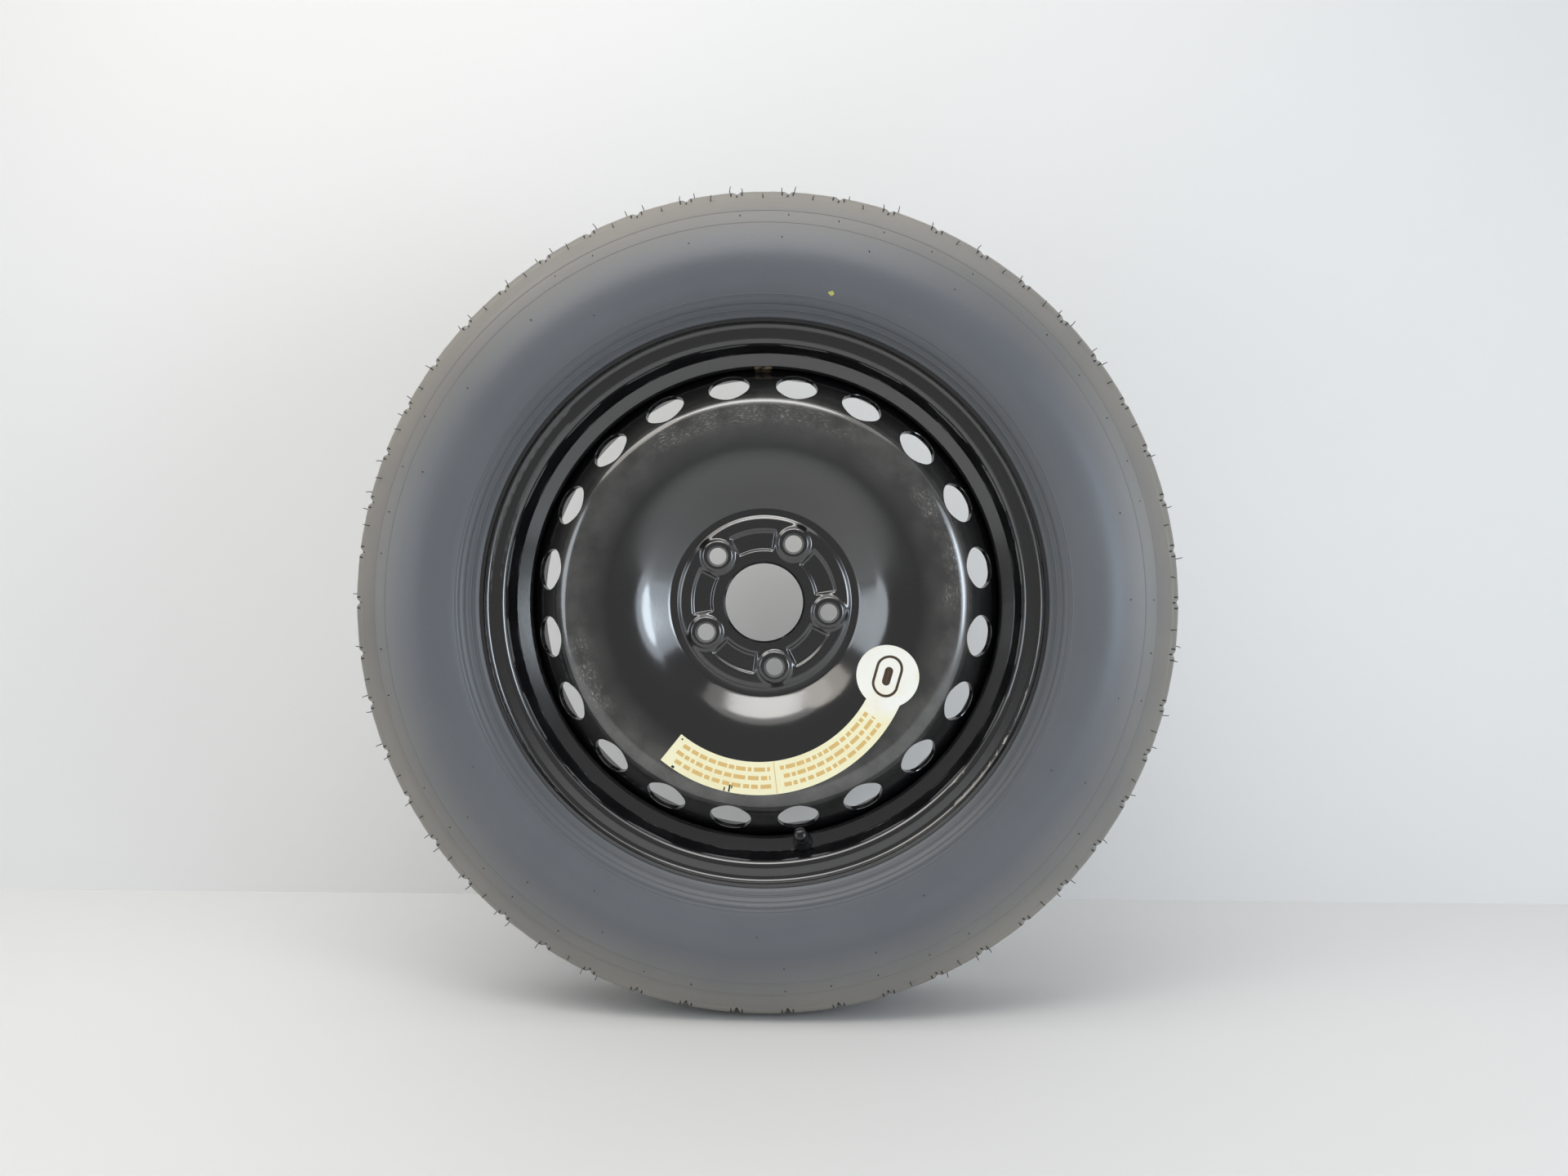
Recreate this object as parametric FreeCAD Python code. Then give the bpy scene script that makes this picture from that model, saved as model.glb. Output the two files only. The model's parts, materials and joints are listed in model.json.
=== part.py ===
import FreeCAD, Part
import math
import os

# Temporary-use steel spare wheel with its tyre, in millimetres.
# The wheel axis is Y, the outboard face looks along -Y, +Z is up, and the
# origin is on the axis in the middle plane of the rim.
# Section points are written as (radius, outboard distance from that plane).

V = FreeCAD.Vector
CENTRE = V(0, 0, 0)
WHEEL_AXIS = V(0, 1, 0)

# Tyre
TYRE_RADIUS = 348.0
SECTION_WIDTH = 165.0
TREAD_WIDTH = 101.0
TREAD_DROP = 4.5
SHOULDER_DROP = 11.5
SHOULDER_OUT = 8.0
SHOULDER_BULGE_RISE = 4.6
SHOULDER_BULGE_IN = 2.9
WIDEST_DROP = 64.0
UPPER_SIDE_RISE = 29.0
UPPER_SIDE_IN = 9.5
LOWER_SIDE_DROP = 28.0
LOWER_SIDE_IN = 5.2
LOWER_END_RISE = 3.0
LOWER_END_OUT = 1.5
LIP_COVER = 1.0
TREAD_WALL = 12.0
SIDE_WALL = 8.0
INSIDE_LOW_DROP = 30.0
INSIDE_LOW_IN = 7.5
INSIDE_UPPER_RISE = 28.0
INSIDE_UPPER_IN = 9.8
INSIDE_SHOULDER_DROP = 1.5
INSIDE_SHOULDER_IN = 4.0
BEAD_TOE_WIDTH = 17.0
BEAD_WALL = 13.0
BEAD_HEIGHT = 14.0
BEAD_FIT = 0.1
GROOVE_WIDTH = 5.0
GROOVE_DEPTH = 3.2
GROOVE_PLACES = (-30.0, -10.0, 10.0, 30.0)
NOTCH_COUNT = 50
NOTCH_FLOOR_WIDTH = 1.0
NOTCH_TOP_WIDTH = 10.0
NOTCH_CUT_HEIGHT = 6.0
NOTCH_RISE = 1.2
NOTCH_IN = 8.5
NOTCH_OVERRUN = 1.15
CUT_CLEARANCE = 1.0

# Rim
BEAD_SEAT_RADIUS = 218.3
RIM_WIDTH = 101.6
RIM_SHEET = 2.6
FLANGE_HEIGHT = 17.3
FLANGE_WIDTH = 10.5
FLANGE_CURL = 6.5
FLANGE_HEEL = 5.3
SEAT_TAPER = 5.0
SEAT_WIDTH = 25.0
WELL_DEPTH = 14.7
WELL_BEND = 3.0
OUTBOARD_RAMP = 62.0
INBOARD_RAMP = 45.0

# Wheel disc
DISC_SHEET = 3.6
OFFSET = 20.0
BORE_RADIUS = 33.3
BORE_CHAMFER = 1.6
PITCH_RADIUS = 56.0
LUG_COUNT = 5
FIRST_LUG_ANGLE = 63.2
LUG_HOLE_RADIUS = 7.25
LUG_SEAT_RADIUS = 9.1
LUG_SEAT_ANGLE = 60.0
BOSS_TOP_RADIUS = 12.2
BOSS_FOOT_RADIUS = 15.8
BOSS_HEIGHT = 2.8
PAD_DEPTH = 2.4
PAD_INNER_RADIUS = 45.5
PAD_OUTER_RADIUS = 61.0
PAD_HALF_ANGLE = 18.0
PAD_DRAFT = 2.6
HOLLOW_STEP = 1.0
PLATE_RADIUS = 70.5
PLATE_STEP = 4.0
TROUGH_WIDTH = 7.0
WALL_RUN = 31.5
WALL_HEIGHT = 20.2
SLOPE_RUN = 55.5
CREST_HEIGHT = 29.2
PRESS_BEND = 4.0
WALL_BEND = 90.0
CREST_BEND = 11.0
SKIRT_BEND = 7.0
SKIRT_OUTER_END = 14.0
SKIRT_INNER_END = -12.0
WELD_FIT = 0.05
VENT_COUNT = 20
VENT_RADIUS = 17.6
WELD_COUNT = 8
WELD_SPAN = 20.0
WELD_LEG = 3.4

# Decal on the dish
DECAL_THICKNESS = 0.15
DECAL_GAP = 0.02
DECAL_CENTRE = V(-3.5, 0, -30.5)
DECAL_CREST_MARGIN = 7.7
DECAL_WIDTH = 27.0
DECAL_START_ANGLE = 231.0
DECAL_END_ANGLE = 336.0
DECAL_HEAD_ANGLE = 343.9
DECAL_HEAD_SETBACK = 17.7
DECAL_HEAD_RADIUS = 26.0

# Tyre valve, along its own axis from the middle of the rim sheet
VALVE_ANGLE = FIRST_LUG_ANGLE + 3 * 360.0 / LUG_COUNT
VALVE_HOLE_RADIUS = 5.75
VALVE_COLLAR_RADIUS = 8.4
VALVE_COLLAR_HEIGHT = 3.4
VALVE_NECK_RADIUS = 5.6
VALVE_NECK_HEIGHT = 9.0
VALVE_BODY_END = 15.0
VALVE_BULB_RADIUS = 9.2
VALVE_BULB_LENGTH = 8.5
VALVE_BULB_CHAMFER = 2.5
VALVE_NECK_TAPER = 0.3
STEM_INSET = 2.0
STEM_CHAMFER = 0.4
STEM_RADIUS = 3.1
STEM_COLLAR_RADIUS = 4.4
STEM_COLLAR_HEIGHT = 1.5
STEM_THREAD_RADIUS = 3.85
STEM_TOP = 25.5
STEM_BORE_RADIUS = 2.55
STEM_THROAT_RADIUS = 2.05
CORE_TOP_DROP = 0.6
CORE_LENGTH = 7.0
CORE_FIT = 0.05
CORE_HEAD_LENGTH = 2.6
CORE_CHAMBER_RADIUS = 1.5
CORE_CHAMBER_FLOOR = 1.2
CORE_TAPER = 0.5
CORE_SEAT_DROP = 0.6
PIN_RADIUS = 0.55
PIN_FIT = 0.06
PIN_COLLAR_RADIUS = 1.2
PIN_COLLAR_LENGTH = 0.8
PIN_COLLAR_DROP = 0.4
PIN_TOP_DROP = 0.2
CUP_RADIUS = 1.75
CUP_LENGTH = 1.6
CUP_TAPER = 0.4
CUP_SEAL_LENGTH = 0.8
CUP_SEAL_TAPER = 0.2
CORE_SEAL_LENGTH = 1.8
CORE_SEAL_DEPTH = 0.5
CORE_SEAL_CHAMFER = 0.3
SPRING_WIRE_RADIUS = 0.14
SPRING_TURNS = 6
SPRING_FIT = 0.06
CAP_RADIUS = 5.3
CAP_FIT = 0.08
CAP_SKIRT_LENGTH = 8.5
CAP_TOP_WALL = 2.0
CAP_DOME = 2.2
CAP_RIB_COUNT = 16
CAP_RIB_RADIUS = 0.42
CAP_RIB_STOP = 1.0
CAP_SEAL_THICKNESS = 1.0
CAP_SEAL_FIT = 0.05


def at(radius, outboard):
    """Section point of the wheel, in the XY plane."""
    return V(radius, -outboard, 0)


def polar(radius, angle, outboard=0.0):
    """Point at an angle from +X towards +Z, seen from outboard."""
    turn = math.radians(angle)
    return V(radius * math.cos(turn), -outboard, radius * math.sin(turn))


def turned(shape, angle):
    """Copy of a shape moved round the wheel, counted as polar counts."""
    return shape.rotated(CENTRE, WHEEL_AXIS, -angle)


def line(start, end):
    return Part.LineSegment(start, end).toShape()


def arc(start, middle, end):
    return Part.Arc(start, middle, end).toShape()


def face_of(edges):
    return Part.Face(Part.Wire(Part.__sortEdges__(edges)))


def polygon_face(points):
    return Part.Face(Part.makePolygon(list(points) + [points[0]]))


def spun(face):
    """Ring made by a section turned about the wheel axis."""
    return face.revolve(CENTRE, WHEEL_AXIS, 360)


def right_of(direction):
    return V(direction.y, -direction.x, 0)


def bent_edges(points, radii, offset):
    """Edges of a polyline with rounded corners, moved to its right by offset."""
    edges = []
    start = points[0]
    for before, corner, after, radius in zip(points, points[1:], points[2:], radii):
        into = (corner - before).normalize()
        out = (after - corner).normalize()
        turn = into.getAngle(out)
        reach = radius * math.tan(turn / 2)
        first = corner - into * reach
        last = corner + out * reach
        middle_of_bend = (out - into).normalize()
        hub = corner + middle_of_bend * (radius / math.cos(turn / 2))
        crown = hub - middle_of_bend * radius
        side = 1 if right_of(into).dot(middle_of_bend) > 0 else -1
        crown_side = middle_of_bend * side
        edges.append(line(start + right_of(into) * offset, first + right_of(into) * offset))
        edges.append(arc(first + right_of(into) * offset, crown + crown_side * offset,
                         last + right_of(out) * offset))
        start = last
    along = (points[-1] - start).normalize()
    edges.append(line(start + right_of(along) * offset, points[-1] + right_of(along) * offset))
    return edges


def sheet_face(points, radii, low, high):
    """Section of bent sheet between two offsets from its middle line."""
    near = bent_edges(points, radii, low)
    far = bent_edges(points, radii, high)
    ends = [line(near[0].firstVertex().Point, far[0].firstVertex().Point),
            line(near[-1].lastVertex().Point, far[-1].lastVertex().Point)]
    return face_of(near + far + ends)


def save(name, shape):
    shape.exportStep("parts/" + name + ".step")


# Tyre corners that more than one cut needs
TREAD_EDGE_RADIUS = TYRE_RADIUS - TREAD_DROP
SHOULDER = at(TYRE_RADIUS - SHOULDER_DROP, TREAD_WIDTH / 2 + SHOULDER_OUT)

# Rim section, from the outboard lip to the inboard lip along the middle of the sheet
SEAT_DROP = SEAT_WIDTH * math.tan(math.radians(SEAT_TAPER))
WALL_PLACE = RIM_WIDTH / 2 + RIM_SHEET / 2
LIP_RADIUS = BEAD_SEAT_RADIUS + FLANGE_HEIGHT - RIM_SHEET / 2
LIP_PLACE = RIM_WIDTH / 2 + FLANGE_WIDTH
SEAT_RADIUS = BEAD_SEAT_RADIUS - RIM_SHEET / 2
SEAT_END_RADIUS = SEAT_RADIUS - SEAT_DROP
SEAT_END = WALL_PLACE - SEAT_WIDTH
WELL_RADIUS = BEAD_SEAT_RADIUS - WELL_DEPTH - RIM_SHEET / 2
RAMP_RISE = SEAT_END_RADIUS - WELL_RADIUS
OUTBOARD_WELL_END = SEAT_END - RAMP_RISE / math.tan(math.radians(OUTBOARD_RAMP))
INBOARD_WELL_END = -SEAT_END + RAMP_RISE / math.tan(math.radians(INBOARD_RAMP))
RIM_PATH = [at(LIP_RADIUS, LIP_PLACE), at(LIP_RADIUS, WALL_PLACE), at(SEAT_RADIUS, WALL_PLACE),
            at(SEAT_END_RADIUS, SEAT_END), at(WELL_RADIUS, OUTBOARD_WELL_END),
            at(WELL_RADIUS, INBOARD_WELL_END), at(SEAT_END_RADIUS, -SEAT_END),
            at(SEAT_RADIUS, -WALL_PLACE), at(LIP_RADIUS, -WALL_PLACE), at(LIP_RADIUS, -LIP_PLACE)]
RIM_BENDS = [FLANGE_CURL, FLANGE_HEEL, WELL_BEND, WELL_BEND, WELL_BEND, WELL_BEND,
             FLANGE_HEEL, FLANGE_CURL]

# Disc section, from the bore to the skirt inside the rim well
WELL_INSIDE = WELL_RADIUS - RIM_SHEET / 2
PLATE_MIDDLE = OFFSET + PAD_DEPTH + DISC_SHEET / 2
PLATE_FRONT = PLATE_MIDDLE + DISC_SHEET / 2
PLATE_BACK = PLATE_MIDDLE - DISC_SHEET / 2
TROUGH_MIDDLE = OFFSET + DISC_SHEET / 2
SKIRT_RADIUS = WELL_INSIDE - WELD_FIT - DISC_SHEET / 2
TROUGH_START = PLATE_RADIUS + PLATE_STEP
TROUGH_RADIUS = TROUGH_START + TROUGH_WIDTH
WALL_RADIUS = TROUGH_RADIUS + WALL_RUN
CREST_RADIUS = WALL_RADIUS + SLOPE_RUN
DISC_PATH = [at(BORE_RADIUS, PLATE_MIDDLE), at(PLATE_RADIUS, PLATE_MIDDLE),
             at(TROUGH_START, TROUGH_MIDDLE), at(TROUGH_RADIUS, TROUGH_MIDDLE),
             at(WALL_RADIUS, TROUGH_MIDDLE + WALL_HEIGHT),
             at(CREST_RADIUS, TROUGH_MIDDLE + CREST_HEIGHT),
             at(SKIRT_RADIUS, SKIRT_OUTER_END), at(SKIRT_RADIUS, SKIRT_INNER_END)]
DISC_BENDS = [PRESS_BEND, PRESS_BEND, PRESS_BEND, WALL_BEND, CREST_BEND, SKIRT_BEND]

# The valve stands square on the outboard ramp, half way up
RAMP_MIDDLE = (at(SEAT_END_RADIUS, SEAT_END) + at(WELL_RADIUS, OUTBOARD_WELL_END)) * 0.5
VALVE_BASE = turned(Part.Vertex(RAMP_MIDDLE), VALVE_ANGLE).Point
VALVE_LEAN = 90.0 - OUTBOARD_RAMP


def on_valve(shape):
    """Place a shape modelled along +Z on the valve axis."""
    placed = shape.rotated(CENTRE, V(1, 0, 0), 90)
    placed = placed.rotated(CENTRE, V(0, 0, 1), -VALVE_LEAN)
    placed = turned(placed, VALVE_ANGLE)
    return placed.translated(VALVE_BASE)


def turned_part(points):
    """Solid of revolution about Z from (radius, height) points."""
    face = polygon_face([V(radius, 0, height) for radius, height in points])
    return face.revolve(CENTRE, V(0, 0, 1), 360)


def make_tyre():
    half_section = SECTION_WIDTH / 2
    tread_edge = at(TREAD_EDGE_RADIUS, TREAD_WIDTH / 2)
    tread_quarter = at(TYRE_RADIUS - TREAD_DROP / 4, TREAD_WIDTH / 4)
    shoulder_round = SHOULDER + V(SHOULDER_BULGE_RISE, SHOULDER_BULGE_IN, 0)
    widest_radius = TYRE_RADIUS - WIDEST_DROP
    widest = at(widest_radius, half_section)
    upper_side = at(widest_radius + UPPER_SIDE_RISE, half_section - UPPER_SIDE_IN)
    lower_side = at(widest_radius - LOWER_SIDE_DROP, half_section - LOWER_SIDE_IN)
    lip_top = LIP_RADIUS + RIM_SHEET / 2 + BEAD_FIT
    lower_end = at(lip_top + LOWER_END_RISE, LIP_PLACE + LOWER_END_OUT)
    lip_touch = at(lip_top, LIP_PLACE - LIP_COVER)
    wall = WALL_PLACE - RIM_SHEET / 2 - BEAD_FIT
    curl = FLANGE_CURL + RIM_SHEET / 2 + BEAD_FIT
    curl_sag = curl * (1 - math.sqrt(0.5))
    curl_start = at(lip_top, wall + curl)
    curl_middle = at(lip_top - curl_sag, wall + curl_sag)
    curl_end = at(lip_top - curl, wall)
    seat = BEAD_SEAT_RADIUS + BEAD_FIT
    heel = FLANGE_HEEL + RIM_SHEET / 2
    heel_start = at(seat + heel, wall)
    heel_end = at(seat, wall - heel)
    toe_drop = BEAD_TOE_WIDTH * math.tan(math.radians(SEAT_TAPER))
    toe = at(seat - toe_drop / 2, wall - BEAD_TOE_WIDTH)
    bead_inside = at(seat + BEAD_HEIGHT, wall - BEAD_WALL)
    half_inside = half_section - SIDE_WALL
    inside_low = at(widest_radius - INSIDE_LOW_DROP, half_inside - INSIDE_LOW_IN)
    inside_widest = at(widest_radius, half_inside)
    inside_upper = at(widest_radius + INSIDE_UPPER_RISE, half_inside - INSIDE_UPPER_IN)
    crown_inside = TYRE_RADIUS - TREAD_WALL
    inside_half_tread = TREAD_WIDTH / 2 - INSIDE_SHOULDER_IN
    inside_shoulder = at(crown_inside - TREAD_DROP - INSIDE_SHOULDER_DROP, inside_half_tread)
    inside_quarter = at(crown_inside - TREAD_DROP / 4, inside_half_tread / 2)
    half = [arc(at(TYRE_RADIUS, 0), tread_quarter, tread_edge),
            arc(tread_edge, shoulder_round, SHOULDER),
            arc(SHOULDER, upper_side, widest),
            arc(widest, lower_side, lower_end),
            line(lower_end, lip_touch),
            line(lip_touch, curl_start),
            arc(curl_start, curl_middle, curl_end),
            line(curl_end, heel_start),
            line(heel_start, heel_end),
            line(heel_end, toe),
            line(toe, bead_inside),
            arc(bead_inside, inside_low, inside_widest),
            arc(inside_widest, inside_upper, inside_shoulder),
            arc(inside_shoulder, inside_quarter, at(crown_inside, 0))]
    other_half = [edge.mirror(CENTRE, WHEEL_AXIS) for edge in half]
    tyre = spun(face_of(half + other_half))
    grooves = [groove(place) for place in GROOVE_PLACES]
    return tyre.cut(Part.makeCompound(grooves + notches()))


def groove(place):
    """Ring that cuts one tread groove."""
    top = TYRE_RADIUS + CUT_CLEARANCE
    share = abs(place) / (TREAD_WIDTH / 2)
    floor = TYRE_RADIUS - TREAD_DROP * share * share - GROOVE_DEPTH
    half = GROOVE_WIDTH / 2
    return spun(polygon_face([at(floor, place - half), at(floor, place + half),
                              at(top, place + half), at(top, place - half)]))


def notches():
    """Wedges that cut the short notches of both tread shoulders."""
    start = at(TREAD_EDGE_RADIUS + NOTCH_RISE, TREAD_WIDTH / 2 - NOTCH_IN)
    along = (SHOULDER - start) * NOTCH_OVERRUN
    top = start + V(NOTCH_CUT_HEIGHT, 0, 0)
    top_side = V(0, 0, NOTCH_TOP_WIDTH / 2)
    floor_side = V(0, 0, NOTCH_FLOOR_WIDTH / 2)
    wedge = polygon_face([top + top_side, top - top_side, start - floor_side,
                          start + floor_side]).extrude(along)
    other_wedge = wedge.mirror(CENTRE, WHEEL_AXIS)
    pitch = 360.0 / NOTCH_COUNT
    outboard = [turned(wedge, index * pitch) for index in range(NOTCH_COUNT)]
    inboard = [turned(other_wedge, (index + 0.5) * pitch) for index in range(NOTCH_COUNT)]
    return outboard + inboard


def make_rim():
    rim = spun(sheet_face(RIM_PATH, RIM_BENDS, -RIM_SHEET / 2, RIM_SHEET / 2))
    half_depth = 3 * RIM_SHEET
    hole = Part.makeCylinder(VALVE_HOLE_RADIUS, 2 * half_depth, V(0, 0, -half_depth))
    return rim.cut(on_valve(hole))


def kidney(inner, outer, half_angle, middle_angle, outboard):
    """Closed outline between two radii with straight radial ends."""
    first = middle_angle - half_angle
    last = middle_angle + half_angle
    return Part.Wire([arc(polar(inner, first, outboard), polar(inner, middle_angle, outboard),
                          polar(inner, last, outboard)),
                      line(polar(inner, last, outboard), polar(outer, last, outboard)),
                      arc(polar(outer, last, outboard), polar(outer, middle_angle, outboard),
                          polar(outer, first, outboard)),
                      line(polar(outer, first, outboard), polar(inner, first, outboard))])


def pad(angle, floor, rim, grow):
    """Pressed pad between two lugs: a tapered block from its floor to its rim."""
    spread = math.degrees(PAD_DRAFT / PITCH_RADIUS)
    wider = math.degrees(grow / PITCH_RADIUS)
    small = kidney(PAD_INNER_RADIUS - grow, PAD_OUTER_RADIUS + grow, PAD_HALF_ANGLE + wider,
                   angle, floor)
    large = kidney(PAD_INNER_RADIUS - grow - PAD_DRAFT, PAD_OUTER_RADIUS + grow + PAD_DRAFT,
                   PAD_HALF_ANGLE + wider + spread, angle, rim)
    return Part.makeLoft([small, large], True, True)


def cone_on_wheel(low_radius, high_radius, low, high, radius, angle):
    """Cone along the wheel axis, placed at a radius and an angle."""
    if low_radius == high_radius:
        return Part.makeCylinder(low_radius, high - low, polar(radius, angle, low), V(0, -1, 0))
    return Part.makeCone(low_radius, high_radius, high - low, polar(radius, angle, low), V(0, -1, 0))


def make_disc():
    disc = spun(sheet_face(DISC_PATH, DISC_BENDS, -DISC_SHEET / 2, DISC_SHEET / 2))
    lugs = [FIRST_LUG_ANGLE + index * 360.0 / LUG_COUNT for index in range(LUG_COUNT)]
    half_step = 180.0 / LUG_COUNT
    boss_top = PLATE_FRONT + BOSS_HEIGHT
    backs = [pad(angle + half_step, OFFSET, PLATE_BACK, DISC_SHEET / 2) for angle in lugs]
    bosses = [cone_on_wheel(BOSS_FOOT_RADIUS, BOSS_TOP_RADIUS, PLATE_FRONT - DISC_SHEET / 2, boss_top,
                            PITCH_RADIUS, angle) for angle in lugs]
    disc = disc.fuse(backs + bosses)
    fronts = [pad(angle + half_step, PLATE_FRONT - PAD_DEPTH, PLATE_FRONT, 0.0) for angle in lugs]
    hollows = [cone_on_wheel(BOSS_TOP_RADIUS, LUG_SEAT_RADIUS - HOLLOW_STEP, PLATE_BACK - PAD_DEPTH,
                             PLATE_BACK + BOSS_HEIGHT - HOLLOW_STEP, PITCH_RADIUS, angle)
               for angle in lugs]
    holes = [cone_on_wheel(LUG_HOLE_RADIUS, LUG_HOLE_RADIUS, OFFSET - CUT_CLEARANCE,
                           boss_top + CUT_CLEARANCE, PITCH_RADIUS, angle) for angle in lugs]
    seat_depth = (LUG_SEAT_RADIUS - LUG_HOLE_RADIUS) / math.tan(math.radians(LUG_SEAT_ANGLE / 2))
    seats = [cone_on_wheel(LUG_HOLE_RADIUS, LUG_SEAT_RADIUS, boss_top - seat_depth, boss_top,
                           PITCH_RADIUS, angle) for angle in lugs]
    bore_edge = cone_on_wheel(BORE_RADIUS, BORE_RADIUS + BORE_CHAMFER, PLATE_FRONT - BORE_CHAMFER,
                              PLATE_FRONT, 0.0, 0.0)
    return disc.cut(fronts + hollows + holes + seats + [bore_edge] + vents())


def vents():
    """Cutters for the round vents, square to the cone below the crest."""
    cone_top = DISC_PATH[5]
    cone_end = DISC_PATH[6]
    middle = (cone_top + cone_end) * 0.5
    outward = right_of(cone_end - cone_top).normalize()
    depth = 8 * DISC_SHEET
    cutter = Part.makeCylinder(VENT_RADIUS, depth, middle - outward * (depth / 2), outward)
    pitch = 360.0 / VENT_COUNT
    return [turned(cutter, FIRST_LUG_ANGLE + index * pitch) for index in range(VENT_COUNT)]


def make_welds():
    """Short fillet welds that hold the skirt in the rim well, on the inboard side."""
    foot = at(WELL_INSIDE, SKIRT_INNER_END)
    section = polygon_face([foot, foot + V(0, WELD_LEG, 0), foot - V(WELD_LEG, 0, 0)])
    bead = section.revolve(CENTRE, WHEEL_AXIS, WELD_SPAN)
    pitch = 360.0 / WELD_COUNT
    return Part.makeCompound([turned(bead, index * pitch) for index in range(WELD_COUNT)])


def make_decal():
    """Plain keyhole-shaped decal lying on the dish."""
    low = DISC_SHEET / 2 + DECAL_GAP
    skin = spun(sheet_face(DISC_PATH, DISC_BENDS, low, low + DECAL_THICKNESS))
    reach = 2 * OFFSET + CREST_HEIGHT
    middle_angle = (DECAL_START_ANGLE + DECAL_END_ANGLE) / 2
    half_angle = (DECAL_END_ANGLE - DECAL_START_ANGLE) / 2
    outer = CREST_RADIUS - DECAL_CREST_MARGIN + DECAL_CENTRE.z
    tail = Part.Face(kidney(outer - DECAL_WIDTH, outer, half_angle, middle_angle, 0.0))
    head_centre = polar(outer - DECAL_HEAD_SETBACK, DECAL_HEAD_ANGLE)
    head = Part.Face(Part.Wire(Part.makeCircle(DECAL_HEAD_RADIUS, head_centre, WHEEL_AXIS)))
    stamp = tail.extrude(V(0, -reach, 0)).fuse(head.extrude(V(0, -reach, 0))).removeSplitter()
    return skin.common(stamp.translated(DECAL_CENTRE))


def make_valve_body(rim):
    """Snap-in rubber body: bulb inside the rim, collar and neck outside."""
    bore = STEM_RADIUS
    end = -VALVE_BULB_LENGTH
    body = turned_part([(bore, end), (VALVE_BULB_RADIUS - VALVE_BULB_CHAMFER, end),
                        (VALVE_BULB_RADIUS, end + VALVE_BULB_CHAMFER),
                        (VALVE_BULB_RADIUS, 0.0),
                        (VALVE_COLLAR_RADIUS, 0.0), (VALVE_COLLAR_RADIUS, VALVE_COLLAR_HEIGHT),
                        (VALVE_NECK_RADIUS, VALVE_NECK_HEIGHT),
                        (VALVE_NECK_RADIUS - VALVE_NECK_TAPER, VALVE_BODY_END), (bore, VALVE_BODY_END)])
    return on_valve(body).cut(rim)


CORE_TOP = STEM_TOP - CORE_TOP_DROP
CORE_BOTTOM = CORE_TOP - CORE_LENGTH
CORE_RADIUS = STEM_BORE_RADIUS - CORE_FIT
CHAMBER_BOTTOM = CORE_BOTTOM + CORE_CHAMBER_FLOOR
SEAL_TOP = CORE_TOP - CORE_HEAD_LENGTH
SEAL_BOTTOM = SEAL_TOP - CORE_SEAL_LENGTH
SEAL_GROOVE_RADIUS = CORE_RADIUS - CORE_SEAL_DEPTH
PIN_TOP = STEM_TOP - PIN_TOP_DROP
COLLAR_TOP = CORE_TOP - PIN_COLLAR_DROP
COLLAR_BOTTOM = COLLAR_TOP - PIN_COLLAR_LENGTH
CUP_TOP = CORE_BOTTOM - CUP_SEAL_LENGTH
CUP_BOTTOM = CUP_TOP - CUP_LENGTH


def make_valve_stem():
    foot = STEM_INSET - VALVE_BULB_LENGTH
    collar = VALVE_BODY_END + STEM_COLLAR_HEIGHT
    return on_valve(turned_part([(STEM_THROAT_RADIUS, foot), (STEM_RADIUS, foot),
                                 (STEM_RADIUS, VALVE_BODY_END), (STEM_COLLAR_RADIUS, VALVE_BODY_END),
                                 (STEM_COLLAR_RADIUS, collar), (STEM_THREAD_RADIUS, collar),
                                 (STEM_THREAD_RADIUS, STEM_TOP - STEM_CHAMFER),
                                 (STEM_THREAD_RADIUS - STEM_CHAMFER, STEM_TOP),
                                 (STEM_BORE_RADIUS, STEM_TOP), (STEM_BORE_RADIUS, CORE_BOTTOM),
                                 (STEM_THROAT_RADIUS, CORE_BOTTOM - CORE_SEAT_DROP)]))


def make_core_barrel():
    hole = PIN_RADIUS + PIN_FIT
    return on_valve(turned_part([(hole, CORE_BOTTOM), (CORE_RADIUS - CORE_TAPER, CORE_BOTTOM),
                                 (SEAL_GROOVE_RADIUS, SEAL_BOTTOM), (SEAL_GROOVE_RADIUS, SEAL_TOP),
                                 (CORE_RADIUS, SEAL_TOP), (CORE_RADIUS, CORE_TOP),
                                 (CORE_CHAMBER_RADIUS, CORE_TOP), (CORE_CHAMBER_RADIUS, CHAMBER_BOTTOM),
                                 (hole, CHAMBER_BOTTOM)]))


def make_core_seal():
    return on_valve(turned_part([(SEAL_GROOVE_RADIUS, SEAL_BOTTOM),
                                 (CORE_RADIUS, SEAL_BOTTOM + CORE_SEAL_CHAMFER),
                                 (CORE_RADIUS, SEAL_TOP), (SEAL_GROOVE_RADIUS, SEAL_TOP)]))


def make_core_pin():
    return on_valve(turned_part([(0, CUP_BOTTOM), (PIN_RADIUS, CUP_BOTTOM),
                                 (PIN_RADIUS, COLLAR_BOTTOM), (PIN_COLLAR_RADIUS, COLLAR_BOTTOM),
                                 (PIN_COLLAR_RADIUS, COLLAR_TOP), (PIN_RADIUS, COLLAR_TOP),
                                 (PIN_RADIUS, PIN_TOP), (0, PIN_TOP)]))


def make_core_cup():
    return on_valve(turned_part([(PIN_RADIUS, CUP_BOTTOM), (CUP_RADIUS - CUP_TAPER, CUP_BOTTOM),
                                 (CUP_RADIUS, CUP_TOP), (PIN_RADIUS, CUP_TOP)]))


def make_cup_seal():
    return on_valve(turned_part([(PIN_RADIUS, CUP_TOP), (CUP_RADIUS, CUP_TOP),
                                 (CUP_RADIUS - CUP_SEAL_TAPER, CORE_BOTTOM), (PIN_RADIUS, CORE_BOTTOM)]))


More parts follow.
